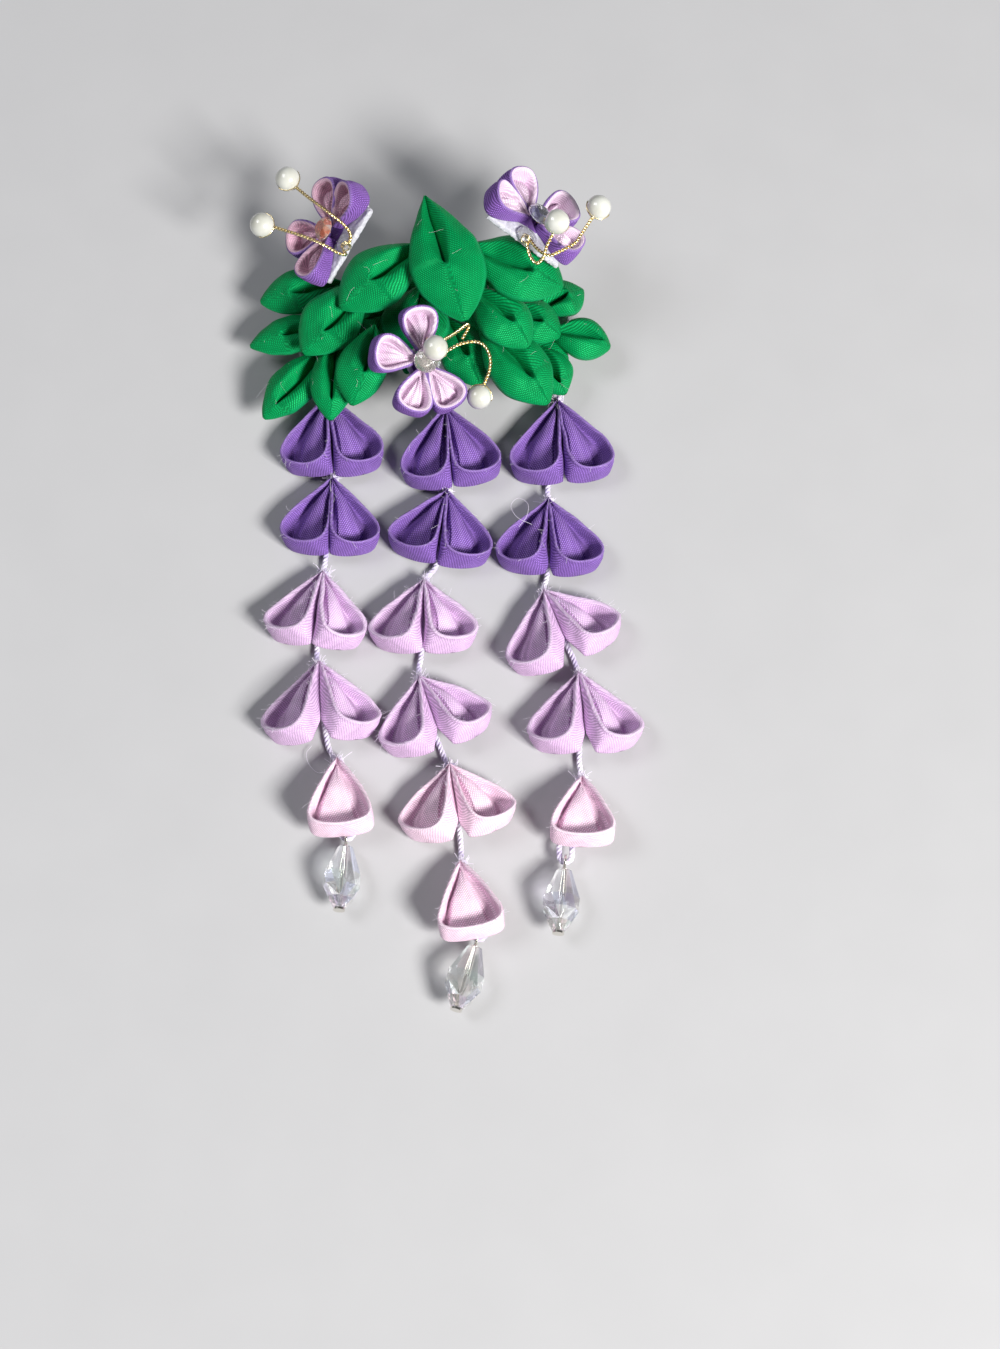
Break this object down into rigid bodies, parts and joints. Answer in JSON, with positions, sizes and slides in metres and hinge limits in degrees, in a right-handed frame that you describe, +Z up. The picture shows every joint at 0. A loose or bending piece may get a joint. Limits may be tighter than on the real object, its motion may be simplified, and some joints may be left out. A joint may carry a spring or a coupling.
{
  "type": "folded cloth floral hair clip",
  "caption": "Hair clip with a spray of folded cloth leaves, butterflies on wire antennae, and hanging strands of folded florets that end in glass drops.",
  "frame": {"origin": "centre of the flat underside of the steel clip, which is what the leaf end rests on", "axes": "+X along the clip towards its open mouth, -Y along the hanging strands towards the drops, +Z up, out of the surface it lies on, towards the top leaves"},
  "size_m": [0.0803, 0.1697, 0.0335],
  "materials": {
    "steel_strip": "satin",
    "white_felt": "fuzzy felt",
    "leaf_cloth": "matt woven cloth, folded",
    "deep_cloth": "matt woven cloth, folded",
    "lilac_cloth": "matt woven cloth with a fuzzy edge, folded",
    "pale_cloth": "matt woven cloth, folded",
    "wing_cloth": "purple cloth outside, pale pink cloth inside",
    "cord": "braided cord",
    "cut_glass": "faceted, with a faint rainbow coating",
    "pin_wire": "polished",
    "gold_wire": "twisted wire, polished",
    "pearl": "pearly gloss"
  },
  "bodies": {
    "root": {"clip": "steel_strip", "base": "white_felt", "leaf_left_far_low": "leaf_cloth", "leaf_left_far_high": "leaf_cloth", "leaf_left_corner": "leaf_cloth", "leaf_left_down": "leaf_cloth", "leaf_centre": "leaf_cloth", "leaf_centre_low": "leaf_cloth", "leaf_right_far_high": "leaf_cloth", "leaf_right_far_low": "leaf_cloth", "leaf_right_corner": "leaf_cloth", "leaf_left_middle": "leaf_cloth", "leaf_left_inner": "leaf_cloth", "leaf_right_inner": "leaf_cloth", "leaf_right_down": "leaf_cloth", "leaf_left_over": "leaf_cloth", "leaf_right_middle": "leaf_cloth", "leaf_right_over": "leaf_cloth", "leaf_crown": "leaf_cloth", "floret_left_1": "deep_cloth", "floret_left_2": "deep_cloth", "floret_left_3": "lilac_cloth", "floret_left_4": "lilac_cloth", "floret_left_5": "pale_cloth", "floret_middle_1": "deep_cloth", "floret_middle_2": "deep_cloth", "floret_middle_3": "lilac_cloth", "floret_middle_4": "lilac_cloth", "floret_middle_5": "pale_cloth", "floret_middle_6": "pale_cloth", "floret_right_1": "deep_cloth", "floret_right_2": "deep_cloth", "floret_right_3": "lilac_cloth", "floret_right_4": "lilac_cloth", "floret_right_5": "pale_cloth", "cord_left": "cord", "crystal_left": "cut_glass", "pin_left": "pin_wire", "cord_middle": "cord", "crystal_middle": "cut_glass", "pin_middle": "pin_wire", "cord_right": "cord", "crystal_right": "cut_glass", "pin_right": "pin_wire", "butterfly_left_felt": "white_felt", "butterfly_left_wings": "wing_cloth", "butterfly_left_stone": "cut_glass", "butterfly_left_wires": "gold_wire", "butterfly_left_pearls": "pearl", "butterfly_centre_felt": "white_felt", "butterfly_centre_wings": "wing_cloth", "butterfly_centre_stone": "cut_glass", "butterfly_centre_wires": "gold_wire", "butterfly_centre_pearls": "pearl", "butterfly_right_felt": "white_felt", "butterfly_right_wings": "wing_cloth", "butterfly_right_stone": "cut_glass", "butterfly_right_wires": "gold_wire", "butterfly_right_pearls": "pearl"}
  },
  "joints": []
}
